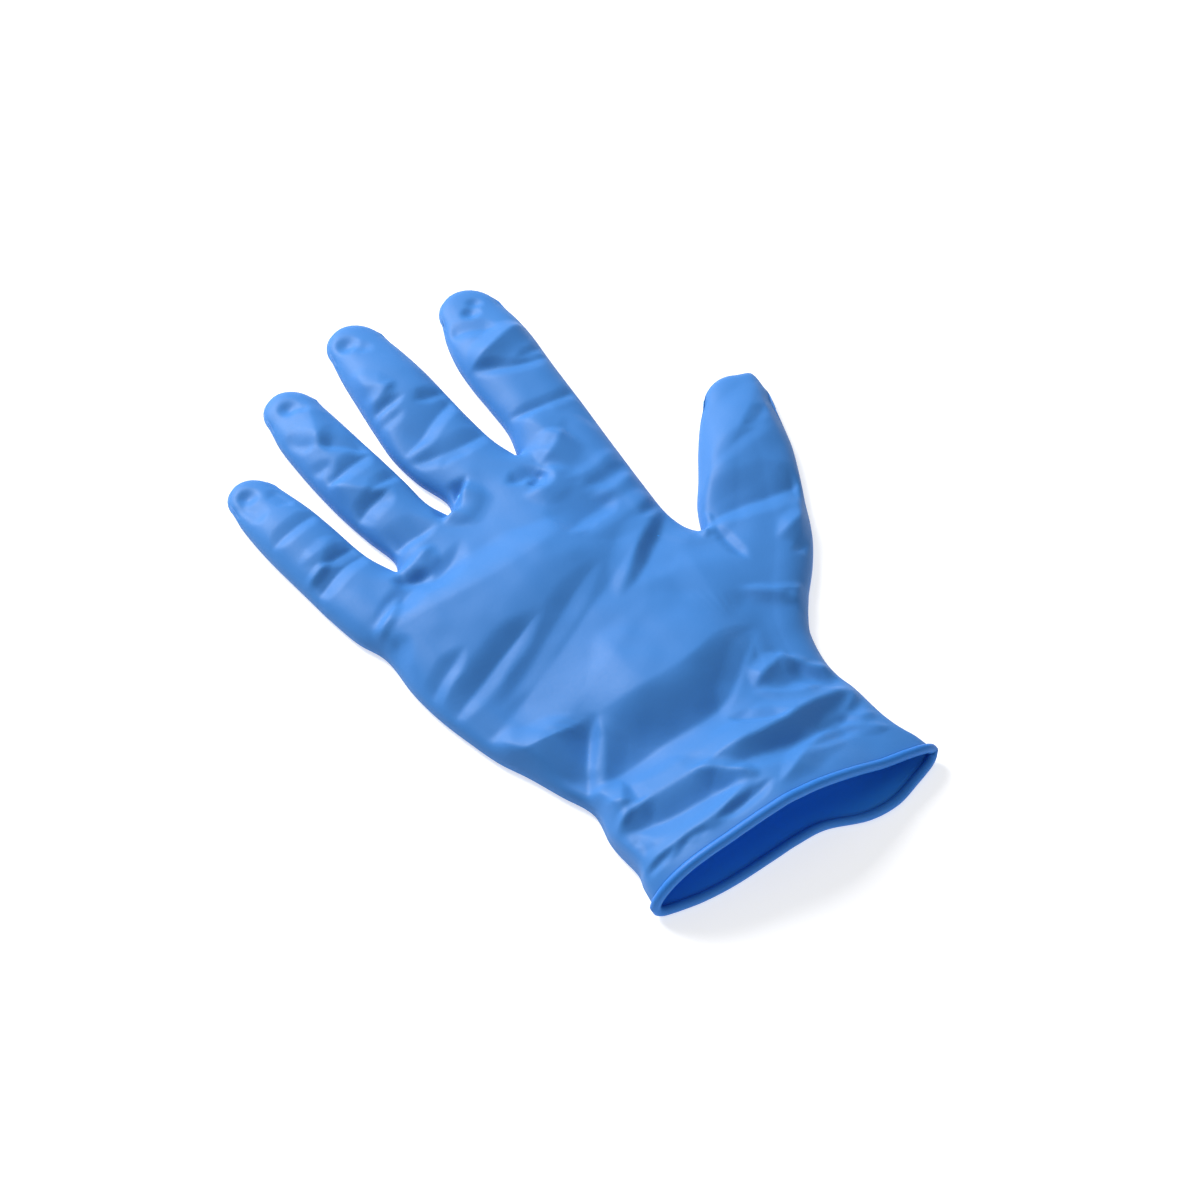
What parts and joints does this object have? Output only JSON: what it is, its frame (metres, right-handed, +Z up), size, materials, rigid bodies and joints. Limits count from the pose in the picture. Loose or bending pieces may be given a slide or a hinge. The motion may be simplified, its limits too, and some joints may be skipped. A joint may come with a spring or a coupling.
{
  "type": "nitrile exam glove",
  "caption": "Disposable exam glove lying flat, with hollow palm and fingers and a rolled bead round its open cuff.",
  "frame": {"origin": "middle of the glove's bounding box, on the surface that it lies on", "axes": "+Y from the cuff to the fingertips, +X across the hand towards the thumb, +Z up through the palm film"},
  "size_m": [0.1666, 0.2524, 0.0221],
  "materials": {
    "nitrile": "smooth satin dipped film, mid blue"
  },
  "bodies": {
    "root": {"glove": "nitrile"}
  },
  "joints": []
}
